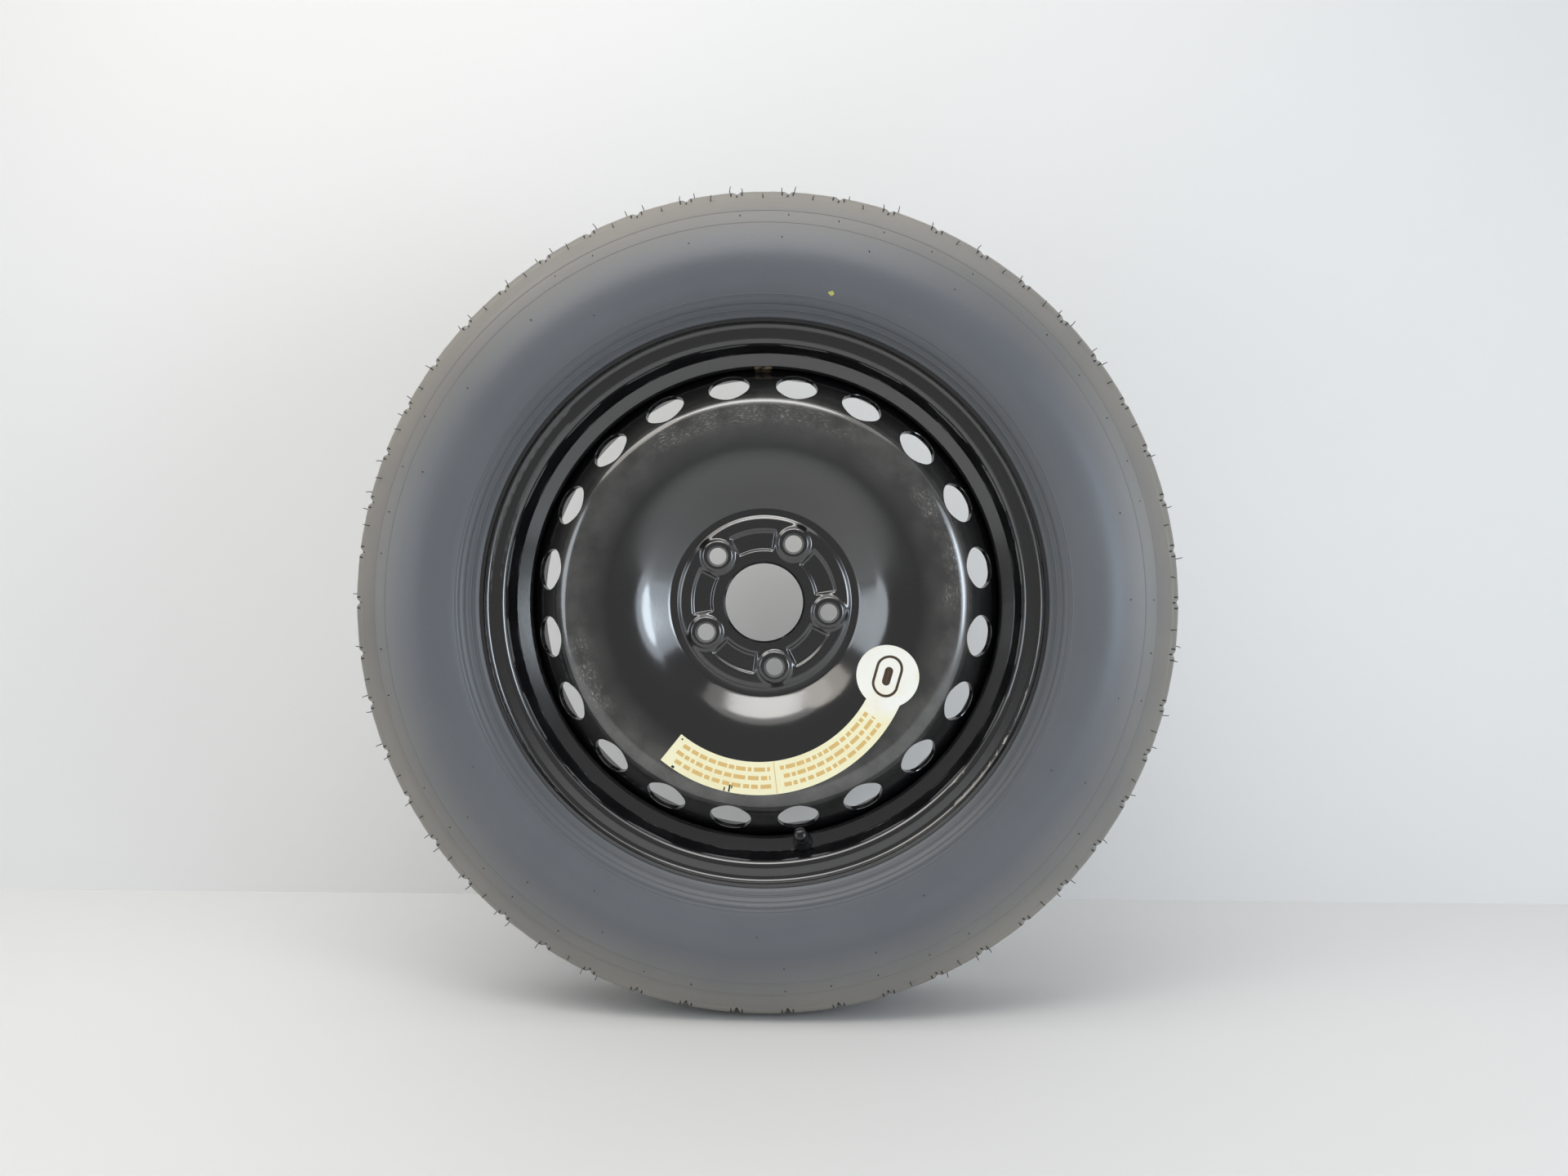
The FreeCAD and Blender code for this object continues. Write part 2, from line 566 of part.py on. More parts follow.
def make_core_spring():
    """Return spring between the chamber floor and the pin collar."""
    bottom = CHAMBER_BOTTOM + SPRING_WIRE_RADIUS + SPRING_FIT
    height = COLLAR_BOTTOM - CHAMBER_BOTTOM - 2 * (SPRING_WIRE_RADIUS + SPRING_FIT)
    radius = (PIN_RADIUS + CORE_CHAMBER_RADIUS) / 2
    helix = Part.makeHelix(height / SPRING_TURNS, height, radius)
    start = helix.Edges[0].valueAt(helix.Edges[0].FirstParameter)
    heading = helix.Edges[0].tangentAt(helix.Edges[0].FirstParameter)
    section = Part.Wire(Part.makeCircle(SPRING_WIRE_RADIUS, start, heading))
    spring = Part.Wire(helix.Edges).makePipeShell([section], True, True)
    return on_valve(spring.translated(V(0, 0, bottom)))


CAP_SEAL_BOTTOM = STEM_TOP + CAP_SEAL_FIT
CAP_CEILING = CAP_SEAL_BOTTOM + CAP_SEAL_THICKNESS + CAP_SEAL_FIT
CAP_BORE_RADIUS = STEM_THREAD_RADIUS + CAP_FIT


def make_cap_seal():
    return on_valve(Part.makeCylinder(CAP_BORE_RADIUS - CAP_SEAL_FIT, CAP_SEAL_THICKNESS,
                                      V(0, 0, CAP_SEAL_BOTTOM)))


def make_cap():
    """Domed cap with grip ribs round its side."""
    foot = CAP_CEILING - CAP_SKIRT_LENGTH
    top = CAP_CEILING + CAP_TOP_WALL
    shoulder = V(CAP_RADIUS, 0, top - CAP_DOME)
    crown = V(0, 0, top)
    dome_radius = (CAP_RADIUS ** 2 + CAP_DOME ** 2) / (2 * CAP_DOME)
    half_turn = math.asin(CAP_RADIUS / dome_radius) / 2
    bulge = V(dome_radius * math.sin(half_turn), 0, top - dome_radius * (1 - math.cos(half_turn)))
    face = face_of([line(V(CAP_BORE_RADIUS, 0, foot), V(CAP_RADIUS, 0, foot)),
                    line(V(CAP_RADIUS, 0, foot), shoulder), arc(shoulder, bulge, crown),
                    line(crown, V(0, 0, CAP_CEILING)),
                    line(V(0, 0, CAP_CEILING), V(CAP_BORE_RADIUS, 0, CAP_CEILING)),
                    line(V(CAP_BORE_RADIUS, 0, CAP_CEILING), V(CAP_BORE_RADIUS, 0, foot))])
    cap = face.revolve(CENTRE, V(0, 0, 1), 360)
    rib_length = CAP_SKIRT_LENGTH - CAP_RIB_STOP
    rib_place = V(CAP_RADIUS + CAP_RIB_RADIUS / 2, 0, foot)
    groove_cut = Part.makeCylinder(CAP_RIB_RADIUS, rib_length, rib_place)
    pitch = 360.0 / CAP_RIB_COUNT
    grip = [groove_cut.rotated(CENTRE, V(0, 0, 1), index * pitch) for index in range(CAP_RIB_COUNT)]
    return on_valve(cap.cut(grip))


os.makedirs("parts", exist_ok=True)
rim = make_rim()
save("tyre", make_tyre())
save("rim", rim)
save("wheel_disc", make_disc())
save("disc_welds", make_welds())
save("decal", make_decal())
save("valve_body", make_valve_body(rim))
save("valve_stem", make_valve_stem())
save("valve_core_barrel", make_core_barrel())
save("valve_core_seal", make_core_seal())
save("valve_core_pin", make_core_pin())
save("valve_core_cup", make_core_cup())
save("valve_cup_seal", make_cup_seal())
save("valve_core_spring", make_core_spring())
save("valve_cap_seal", make_cap_seal())
save("valve_cap", make_cap())
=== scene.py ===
import json
import math
import random

import bpy
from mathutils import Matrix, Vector
from mathutils.bvhtree import BVHTree


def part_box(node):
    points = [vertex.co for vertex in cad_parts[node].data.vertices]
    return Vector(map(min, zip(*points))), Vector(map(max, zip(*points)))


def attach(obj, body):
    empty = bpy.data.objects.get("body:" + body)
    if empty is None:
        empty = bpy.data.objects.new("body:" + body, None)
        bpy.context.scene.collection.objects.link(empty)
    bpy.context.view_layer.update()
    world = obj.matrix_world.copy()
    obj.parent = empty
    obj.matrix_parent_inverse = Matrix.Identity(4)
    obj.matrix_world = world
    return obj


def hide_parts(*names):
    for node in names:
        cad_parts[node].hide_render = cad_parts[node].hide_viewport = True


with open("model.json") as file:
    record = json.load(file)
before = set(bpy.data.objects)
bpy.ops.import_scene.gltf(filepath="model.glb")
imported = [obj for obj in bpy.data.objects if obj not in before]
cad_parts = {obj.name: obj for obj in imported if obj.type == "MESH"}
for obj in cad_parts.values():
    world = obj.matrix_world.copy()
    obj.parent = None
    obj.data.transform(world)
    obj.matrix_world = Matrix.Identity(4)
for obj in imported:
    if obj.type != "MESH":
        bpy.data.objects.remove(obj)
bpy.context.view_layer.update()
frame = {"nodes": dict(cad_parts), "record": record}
nodes = frame["nodes"]

# Sizes are in millimetres and go into the scene in metres. As in the solids, the wheel axis is Y, the
# outboard face looks along -Y, and a place on the wheel is a radius, an angle from +X towards +Z and a
# distance outboard of the rim's middle plane.
MM = 0.001

# Camera, in metres and degrees
CAMERA_PLACE = (0.0544, -1.0337, 0.0122)
CAMERA_TILT = 90.0
CAMERA_TURN = 2.12
CAMERA_LENS = 27.04
SENSOR_WIDTH = 36.0

# Stage
WALL_DISTANCE = 0.34
STAGE_SIZE = 12.0
STAGE_COLOUR = (0.86, 0.86, 0.855, 1.0)
STAGE_DARKER = (0.84, 0.84, 0.835, 1.0)
BACKGROUND_COLOUR = (0.93, 0.93, 0.93, 1.0)
ROOM_ABOVE = (0.34, 0.34, 0.34, 1.0)
ROOM_BELOW = (0.18, 0.18, 0.18, 1.0)
ROOM_FRONT = (0.28, 0.28, 0.275, 1.0)
ROOM_SIDES = (1.0, 1.01, 1.03, 1.0)

# Lamps: name, place, point they are aimed at, size, power in watts and colour
WARM_WHITE = (1.0, 0.985, 0.955)
WARM = (1.0, 0.95, 0.87)
COOL = (0.80, 0.90, 1.0)
PALE_COOL = (0.84, 0.92, 1.0)
LAMPS = [("overhead", (-0.2, -0.6, 1.4), (-0.2, -0.5, 0.0), (2.6, 1.5), 9.5, WARM_WHITE),
         ("overhead_core", (-0.1, -0.84, 1.38), (-0.1, -0.55, 0.0), (1.3, 0.35), 5.5, WARM_WHITE),
         ("upper_left", (-0.95, -0.65, 1.1), (0.0, 0.0, 0.1), (0.9, 0.7), 3.6, WARM),
         ("right_window", (1.4, -1.25, 0.15), (0.0, 0.0, 0.0), (0.85, 1.3), 7.0, COOL),
         ("right_core", (1.38, -1.23, 0.15), (0.0, 0.0, 0.0), (0.35, 0.8), 4.5, COOL),
         ("left_window", (-1.6, -1.1, 0.2), (0.0, 0.0, 0.0), (0.65, 1.1), 5.0, PALE_COOL)]

# Pressed disc: middle line of the sheet as (radius, outboard), with the bend at each inner corner.
# The cone of the vents starts at CONE_CORNER.
DISC_SHEET = 3.6
BORE_RADIUS = 33.3
BORE_CHAMFER = 1.6
PLATE_MIDDLE = 24.2
DISC_POINTS = [(BORE_RADIUS, PLATE_MIDDLE), (70.5, PLATE_MIDDLE), (74.5, 21.8), (81.5, 21.8),
               (113.0, 42.0), (168.5, 51.0), (199.15, 14.0), (199.15, -12.0)]
DISC_BENDS = [4.0, 4.0, 4.0, 90.0, 20.0, 7.0]
DISC_STEPS = [1.1, 1.5, 2.5, 2.2, 3.2, 1.7, 6.0]
CONE_CORNER = 5
BEND_STEP = 1.3
DISC_TURNS = 360
PITCH_RADIUS = 56.0
LUG_COUNT = 5
FIRST_LUG_ANGLE = 63.2
LUG_HOLE_RADIUS = 7.25
LUG_SEAT_RADIUS = 9.1
LUG_SEAT_DEPTH = 3.2
BOSS_HEIGHT = 2.8
BOSS_TOP_RADIUS = 11.4
BOSS_FOOT_RADIUS = 16.2
PAD_DEPTH = 2.4
PAD_INNER_RADIUS = 45.0
PAD_OUTER_RADIUS = 61.5
PAD_HALF_ANGLE = 18.5
PAD_SLOPE = 3.2
VENT_COUNT = 20
VENT_RADIUS = 17.6
VENT_EDGE = 0.5

# Valve, along its own axis
VALVE_BASE = Vector((33.344, -23.773, -205.874)) * MM
VALVE_AXIS = Vector((-0.075060, -0.882948, 0.463432)).normalized()
THREAD_RADIUS = 3.85
THREAD_PITCH = 0.794
THREAD_DEPTH = 0.3
THREAD_ROWS = 90
STEM_PROFILE = [(2.05, -6.5), (3.1, -6.5), (3.1, 15.0), (4.4, 15.0), (4.4, 16.5), (THREAD_RADIUS, 16.5),
                (THREAD_RADIUS, 25.1), (3.45, 25.5), (2.55, 25.5), (2.55, 17.9), (2.05, 17.3)]
STEM_TURNS = 32

# Tyre side: ribs are (radius, width, height), hairs (degrees from the notch, radius), stubs (radius, count,
# share that is missing), sipes (millimetres from the notch, inner radius, outer radius), and the crayon
# mark (radius, angle, size). Drifts, lengths and reaches are the least and the most of a random draw.
TYRE_SEED = 7
FINDER_START = 1000.0
NOTCH_COUNT = 50
SERRATION_RADIUS = 245.0
SERRATION_WIDTH = 5.5
SERRATION_COUNT = 1100
SERRATION_HEIGHT = 0.45
SERRATION_EDGE = 0.3
TOOTH_LOW = 0.1
RIB_SINK = -0.08
RIB_TURNS = 360
RIBS = [(241.6, 1.6, 0.5), (252.2, 1.2, 0.4), (311.0, 0.8, 0.25), (322.5, 1.4, 0.45)]
HAIR_RADIUS = 0.42
HAIR_SIDES = 5
HAIR_PLACES = [(1.1, 343.0), (-1.1, 342.5), (3.6, 336.0)]
HAIR_LOSS = 0.3
HAIR_DRIFT = (-0.3, 0.3)
HAIR_LENGTHS = (3.0, 6.0)
HAIR_SWAY = (1.0, 0.6, 1.0)
HAIR_LEANS = (0.1, 0.35, 0.6, 0.85)
HAIR_OUTWARD = 0.8
HAIR_TAPER = 0.35
HAIR_ROOT = 0.3
FLOOR_ANGLES = (250.0, 290.0)
STUB_RADIUS = 0.5
STUB_DRIFT = (-0.8, 0.8)
STUB_SHIFT = (-0.6, 0.6)
STUB_LENGTHS = (0.7, 1.5)
STUB_RINGS = [(318.0, 50, 0.3), (298.0, 25, 0.4), (270.0, 12, 0.5)]
# The sipes are drawn as dark strips of painted shade laid on the side
SIPES = [(-4.6, 337.6, 343.2), (0.0, 336.4, 342.6), (4.6, 337.6, 343.2)]
SIPE_WIDTH = 1.3
SIPE_STEPS = 7
SIPE_END = 0.04
SIPE_LIFT = 0.04
CRAYON_MARK = (257.6, 77.1, 3.6)
CRAYON_CORNERS = 9
CRAYON_REACH = (0.55, 1.0)
CRAYON_SQUASH = 0.7
CRAYON_LIFT = 0.08

# Decal, about its own centre: fields of print are (start, end) in degrees, rings of the badge (half length,
# radius, width), tears (radius, height, start, turn)
DECAL_CENTRE = (-3.5, -30.5)
DECAL_INNER = 103.3
DECAL_OUTER = 130.3
DIVIDER_ANGLE = 277.0
DIVIDER_MARGIN = 1.0
DIVIDER_TURN = 0.15
HEAD_ANGLE = 343.9
HEAD_PITCH = 112.6
HEAD_RADIUS = 26.0
HEAD_FADE = 14.0
PRINT_LIFT = 0.05
PRINT_ROWS = (109.5, 116.5, 123.5)
PRINT_FIELDS = [(234.0, 275.0), (279.0, 326.0)]
PRINT_HEIGHT = 3.3
PRINT_STEP = 1.0
BAR_STARTS = (0.0, 2.0)
BAR_TURNS = (1.4, 5.0)
BAR_GAPS = (0.7, 1.1)
BADGE_RINGS = [(6.5, 9.0, 2.2), (4.5, 0.02, 3.4)]
STADIUM_STEPS = 48
DECAL_SEED = 11
DECAL_TEARS = [(127.0, 6.0, 258.7, 0.6), (125.6, 2.6, 259.6, 0.4), (128.4, 3.2, 256.9, 0.5),
               (128.9, 2.0, 235.6, 1.1), (106.0, 1.2, 232.4, 0.8)]
TEAR_LIFT = 0.08

# Bands of colour, wear, painted shade and sheen: radii in millimetres and angles in degrees, from low to
# high
BLOOM_BAND = (288.0, 338.0)
# Band by the bead over which the side is darkened with painted shade
BEAD_SHADE_BAND = (236.0, 262.0)
WIDEST_BAND = (264.0, 320.0)
WIDEST_FADE = 8.0
WIDEST_ROUNDING = 30.0
SCUFF_BAND = (154.0, 164.0)
SCUFF_FADE = 5.0
SCUFF_RIGHT = (2.0, 34.0)
SCUFF_TOP = (66.0, 122.0)
SCUFF_LEFT = (-165.0, -150.0)
# Ring round the crest of the dish made paler by worn film and by painted sheen
CREST_SHEEN_BAND = (156.0, 167.0)
CREST_SHEEN_FADE = 24.0
CHIP_BAND = (199.6, 202.4)
CHIP_FADE = 0.8
CHIP_ANGLES = (88.4, 92.2)


def wheel_point(radius, angle, outboard):
    """Place on the wheel, in metres."""
    turn = math.radians(angle)
    return Vector((radius * math.cos(turn), -outboard, radius * math.sin(turn))) * MM


def smooth_step(low, high, value):
    share = min(1.0, max(0.0, (value - low) / (high - low)))
    return share * share * (3.0 - 2.0 * share)


def mesh_piece(name, vertices, faces, material, body, crease=35.0):
    """Smooth-shaded mesh object that rides on a body, with edges sharper than crease kept sharp."""
    mesh = bpy.data.meshes.new(name)
    mesh.from_pydata([tuple(vertex) for vertex in vertices], [], faces)
    mesh.validate()
    mesh.materials.append(material)
    for polygon in mesh.polygons:
        polygon.use_smooth = True
    mesh.set_sharp_from_angle(angle=math.radians(crease))
    piece = bpy.data.objects.new(name, mesh)
    bpy.context.scene.collection.objects.link(piece)
    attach(piece, body)
    return piece


# Materials


def add(tree, kind, inputs=None, **settings):
    """Shader node with its settings, and its inputs as values or as other nodes' outputs."""
    made = tree.nodes.new("ShaderNode" + kind)
    for name, value in settings.items():
        setattr(made, name, value)
    for key, value in (inputs or {}).items():
        if isinstance(value, bpy.types.NodeSocket):
            tree.links.new(value, made.inputs[key])
        else:
            made.inputs[key].default_value = value
    return made


def new_material(name):
    material = bpy.data.materials.new(name)
    material.use_nodes = True
    return material, material.node_tree, material.node_tree.nodes["Principled BSDF"]


def link(tree, socket, shader, name):
    tree.links.new(socket, shader.inputs[name])


def math_of(tree, operation, first, second=0.0):
    return add(tree, "Math", {0: first, 1: second}, operation=operation).outputs[0]


def window(tree, value, low, high, soft):
    """1 between low and high, falling to 0 over soft on either side."""
    rise = add(tree, "MapRange", {"Value": value, 1: low - soft, 2: low, 3: 0.0, 4: 1.0})
    fall = add(tree, "MapRange", {"Value": value, 1: high, 2: high + soft, 3: 1.0, 4: 0.0})
    return math_of(tree, "MULTIPLY", rise.outputs[0], fall.outputs[0])


def radius_window(tree, radius, band, soft):
    """Window over a band of radii, in millimetres."""
    return window(tree, radius, band[0] * MM, band[1] * MM, soft * MM)


def angle_window(tree, angle, span, soft):
    """Window over a span of degrees, with its soft edge in radians."""
    return window(tree, angle, math.radians(span[0]), math.radians(span[1]), soft)


def noise(tree, vector, scale, detail=4.0, roughness=0.55):
    return add(tree, "TexNoise", {"Vector": vector, "Scale": scale, "Detail": detail,
                                  "Roughness": roughness}).outputs["Fac"]


def mixed(tree, factor, first, second):
    return add(tree, "Mix", {0: factor, 6: first, 7: second}, data_type="RGBA").outputs[2]


def ranged(tree, value, low, high, to_low, to_high):
    return add(tree, "MapRange", {"Value": value, 1: low, 2: high, 3: to_low, 4: to_high}).outputs[0]


def bump(tree, shader, height, distance, strength=1.0, normal=None):
    inputs = {"Height": height, "Distance": distance, "Strength": strength}
    if normal is not None:
        inputs["Normal"] = normal
    made = add(tree, "Bump", inputs)
    tree.links.new(made.outputs[0], shader.inputs["Normal"])


def diagonal(tree, across, above):
    """Distance that two sockets at right angles make together."""
    squares = math_of(tree, "ADD", math_of(tree, "POWER", across, 2.0), math_of(tree, "POWER", above, 2.0))
    return math_of(tree, "SQRT", squares)


def wheel_coordinates(tree):
    """Object position, and radius and angle about the wheel axis, as sockets."""
    place = add(tree, "TexCoord").outputs["Object"]
    parts = add(tree, "SeparateXYZ", {0: place}).outputs
    radius = diagonal(tree, parts["X"], parts["Z"])
    return place, radius, math_of(tree, "ARCTAN2", parts["Z"], parts["X"])


def tyre_material():
    """Moulded rubber: blue-grey, painted shade by the bead, brown shoulder bloom, rounded widest ring."""
    material, tree, shader = new_material("tyre_rubber")
    place, radius, angle = wheel_coordinates(tree)
    broad = noise(tree, place, 6.0, 3.0)
    fine = noise(tree, place, 420.0, 5.0)
    blue = mixed(tree, broad, (0.108, 0.117, 0.134, 1.0), (0.145, 0.154, 0.168, 1.0))
    shoulder = ranged(tree, radius, BLOOM_BAND[0] * MM, BLOOM_BAND[1] * MM, 0.0, 0.95)
    bloom = math_of(tree, "MULTIPLY", shoulder, ranged(tree, broad, 0.3, 0.7, 0.6, 1.0))
    # Painted shade: the side is darkened towards the bead
    bead = ranged(tree, radius, BEAD_SHADE_BAND[0] * MM, BEAD_SHADE_BAND[1] * MM, 0.55, 0.0)
    shaded = mixed(tree, bead, blue, (0.06, 0.064, 0.07, 1.0))
    brown = mixed(tree, bloom, shaded, (0.275, 0.252, 0.218, 1.0))
    flow = add(tree, "CombineXYZ", {"X": math_of(tree, "MULTIPLY", angle, 0.35), "Y": radius})
    streaks = noise(tree, flow.outputs[0], 90.0, 6.0, 0.7)
    dust = ranged(tree, streaks, 0.62, 0.8, 0.0, 0.35)
    link(tree, mixed(tree, dust, brown, (0.2, 0.2, 0.2, 1.0)), shader, "Base Color")
    link(tree, ranged(tree, broad, 0.25, 0.75, 0.32, 0.45), shader, "Roughness")
    rounded = add(tree, "Bevel", {"Radius": WIDEST_ROUNDING * MM}, samples=8).outputs["Normal"]
    plain = add(tree, "NewGeometry").outputs["Normal"]
    widest = radius_window(tree, radius, WIDEST_BAND, WIDEST_FADE)
    normal = add(tree, "Mix", {0: widest, 4: plain, 5: rounded}, data_type="VECTOR").outputs[1]
    bump(tree, shader, fine, 0.0002, 0.25, normal)
    return material


def paint_material():
    """Gloss black dip coat with orange peel; scuffs, worn film and painted sheen on the crest; a rust chip.
    """
    material, tree, shader = new_material("black_paint")
    place, radius, angle = wheel_coordinates(tree)
    peel = noise(tree, place, 260.0, 2.0)
    haze = noise(tree, place, 30.0, 5.0)
    flow = add(tree, "CombineXYZ", {"X": math_of(tree, "MULTIPLY", angle, 0.06), "Y": radius})
    scratches = noise(tree, flow.outputs[0], 700.0, 8.0, 0.75)
    patches = noise(tree, place, 38.0, 3.0)
    right = angle_window(tree, angle, SCUFF_RIGHT, 0.1)
    top = angle_window(tree, angle, SCUFF_TOP, 0.12)
    left = angle_window(tree, angle, SCUFF_LEFT, 0.1)
    sides = math_of(tree, "MAXIMUM", right, left)
    places = math_of(tree, "MAXIMUM", sides, math_of(tree, "MULTIPLY", top, 0.8))
    ring = radius_window(tree, radius, SCUFF_BAND, SCUFF_FADE)
    worn = math_of(tree, "MULTIPLY", math_of(tree, "MULTIPLY", ring, places),
                   ranged(tree, patches, 0.38, 0.56, 0.0, 1.0))
    scuff = math_of(tree, "MULTIPLY", worn, ranged(tree, scratches, 0.52, 0.64, 0.0, 0.6))
    # Partly worn film, partly painted sheen: a paler patchy ring round the crest of the dish
    crest = radius_window(tree, radius, CREST_SHEEN_BAND, CREST_SHEEN_FADE)
    film = math_of(tree, "MULTIPLY", crest, ranged(tree, patches, 0.3, 0.65, 0.35, 1.0))
    worn_film_and_sheen = mixed(tree, film, (0.006, 0.006, 0.007, 1.0), (0.075, 0.074, 0.07, 1.0))
    scuffed = mixed(tree, scuff, worn_film_and_sheen, (0.46, 0.45, 0.43, 1.0))
    chip = math_of(tree, "MULTIPLY", angle_window(tree, angle, CHIP_ANGLES, 0.006),
                   radius_window(tree, radius, CHIP_BAND, CHIP_FADE))
    rust = math_of(tree, "MULTIPLY", chip, ranged(tree, scratches, 0.42, 0.52, 0.0, 1.0))
    link(tree, mixed(tree, rust, scuffed, (0.21, 0.15, 0.10, 1.0)), shader, "Base Color")
    gloss = ranged(tree, haze, 0.3, 0.7, 0.10, 0.15)
    link(tree, math_of(tree, "ADD", gloss, math_of(tree, "MULTIPLY", scuff, 0.4)), shader, "Roughness")
    shader.inputs["IOR"].default_value = 1.95
    bump(tree, shader, peel, 0.00004, 0.35)
    return material


def simple_material(name, colour, darker, roughness, scale, grain, metallic):
    """Material whose colour and roughness drift with noise, over a fine grain."""
    material, tree, shader = new_material(name)
    place = add(tree, "TexCoord").outputs["Object"]
    drift = noise(tree, place, scale, 4.0)
    link(tree, mixed(tree, drift, darker + (1.0,), colour + (1.0,)), shader, "Base Color")
    link(tree, ranged(tree, drift, 0.3, 0.7, roughness * 0.85, roughness * 1.15), shader, "Roughness")
    shader.inputs["Metallic"].default_value = metallic
    bump(tree, shader, noise(tree, place, scale * 12.0, 3.0), grain, 0.5)
    return material


def decal_material():
    """Cream film, paler on its round head, with worn and yellowed patches."""
    material, tree, shader = new_material("decal_film")
    place = add(tree, "TexCoord").outputs["Object"]
    parts = add(tree, "SeparateXYZ", {0: place}).outputs
    stain = noise(tree, place, 45.0, 5.0)
    centre = wheel_point(HEAD_PITCH, HEAD_ANGLE, 0.0) + Vector((DECAL_CENTRE[0], 0.0, DECAL_CENTRE[1])) * MM
    away = diagonal(tree, math_of(tree, "SUBTRACT", parts["X"], centre.x),
                    math_of(tree, "SUBTRACT", parts["Z"], centre.z))
    head = ranged(tree, away, HEAD_RADIUS * MM, (HEAD_RADIUS + HEAD_FADE) * MM, 1.0, 0.0)
    film = mixed(tree, head, (0.95, 0.91, 0.62, 1.0), (0.95, 0.95, 0.89, 1.0))
    worn = mixed(tree, ranged(tree, stain, 0.52, 0.78, 0.0, 0.35), film, (0.88, 0.74, 0.38, 1.0))
    link(tree, worn, shader, "Base Color")
    shader.inputs["Roughness"].default_value = 0.42
    bump(tree, shader, stain, 0.0001, 0.3)
    return material


# Simple materials: colour, darker colour, roughness, scale of the drift, grain in metres, metallic
SIMPLE_MATERIALS = {
    "painted_weld": ((0.012, 0.012, 0.013), (0.006, 0.006, 0.006), 0.22, 160.0, 0.0006, 0.0),
    "valve_rubber": ((0.022, 0.022, 0.024), (0.012, 0.012, 0.013), 0.45, 120.0, 0.00005, 0.0),
    "seal_rubber": ((0.035, 0.034, 0.033), (0.02, 0.02, 0.02), 0.6, 300.0, 0.00004, 0.0),
    "brass": ((0.76, 0.56, 0.25), (0.62, 0.43, 0.17), 0.28, 400.0, 0.00002, 1.0),
    "spring_steel": ((0.62, 0.62, 0.63), (0.45, 0.45, 0.46), 0.3, 500.0, 0.00002, 1.0),
    "cap_plastic": ((0.016, 0.016, 0.017), (0.009, 0.009, 0.01), 0.2, 200.0, 0.00003, 0.0),
    "print_orange": ((0.80, 0.50, 0.17), (0.70, 0.52, 0.20), 0.5, 260.0, 0.00001, 0.0),
    "print_brown": ((0.075, 0.045, 0.022), (0.05, 0.03, 0.016), 0.45, 260.0, 0.00001, 0.0),
    "crayon_yellow": ((0.62, 0.60, 0.16), (0.42, 0.41, 0.14), 0.8, 300.0, 0.00005, 0.0),
    # Black of the vent hairs and decal tears, and painted shade of the sipe strips
    "black_and_sipe_shade": ((0.02, 0.02, 0.021), (0.012, 0.012, 0.012), 0.8, 200.0, 0.00005, 0.0),
}
materials = {"tyre_rubber": tyre_material(), "black_paint": paint_material(), "decal_film": decal_material()}
for slot, settings in SIMPLE_MATERIALS.items():
    materials[slot] = simple_material(slot, *settings)
for part in frame["record"]["subparts"]:
    mesh = nodes[part["node"]].data
    mesh.materials.clear()
    mesh.materials.append(materials[part["material_slot"]])


# Pressed disc


def bent_path(points, bends, steps):
    """Places (radius, outboard, normal radius part, normal outboard part) along a bent sheet."""
    corners = [Vector(point) for point in points]
    places = []

    def run(start, end, step):
        along = (end - start).normalized()
        count = max(1, math.ceil((end - start).length / step))
        for index in range(count):
            place = start.lerp(end, index / count)
            places.append((place.x, place.y, -along.y, along.x))

    start = corners[0]
    for before, corner, after, bend, step in zip(corners, corners[1:], corners[2:], bends, steps):
        into = (corner - before).normalized()
        out = (after - corner).normalized()
        turn = math.atan2(into.x * out.y - into.y * out.x, into.dot(out))
        reach = bend * math.tan(abs(turn) / 2)
        first = corner - into * reach
        run(start, first, step)
        inner_side = math.copysign(bend, turn)
        hub = first + Vector((-into.y, into.x)) * inner_side
        count = max(3, math.ceil(bend * abs(turn) / BEND_STEP))
        heading = math.atan2(into.x, -into.y)
        for index in range(count):
            swing = heading + turn * index / count
            normal = Vector((math.cos(swing), math.sin(swing)))
            place = hub - normal * inner_side
            places.append((place.x, place.y, normal.x, normal.y))
        start = corner + out * reach
    run(start, corners[-1], steps[-1])
    places.append((corners[-1].x, corners[-1].y) + places[-1][2:])
    return places


def relief(radius, angle):
    """How far the hub plate is pressed outboard: lug bosses up, pads between them down."""
    if radius > PITCH_RADIUS + BOSS_FOOT_RADIUS or radius < PITCH_RADIUS - BOSS_FOOT_RADIUS:
        return 0.0
    step = 360.0 / LUG_COUNT
    lug_turn = (angle - FIRST_LUG_ANGLE + step / 2) % step - step / 2
    pad_turn = (angle - FIRST_LUG_ANGLE) % step - step / 2
    turn = math.radians(lug_turn)
    distance = math.hypot(radius * math.cos(turn) - PITCH_RADIUS, radius * math.sin(turn))
    boss = BOSS_HEIGHT * smooth_step(BOSS_FOOT_RADIUS, BOSS_TOP_RADIUS, distance)
    edge = max(PAD_INNER_RADIUS - radius, radius - PAD_OUTER_RADIUS,
               math.radians(abs(pad_turn) - PAD_HALF_ANGLE) * radius)
    pad = PAD_DEPTH * smooth_step(PAD_SLOPE / 2, -PAD_SLOPE / 2, edge)
    return boss - pad


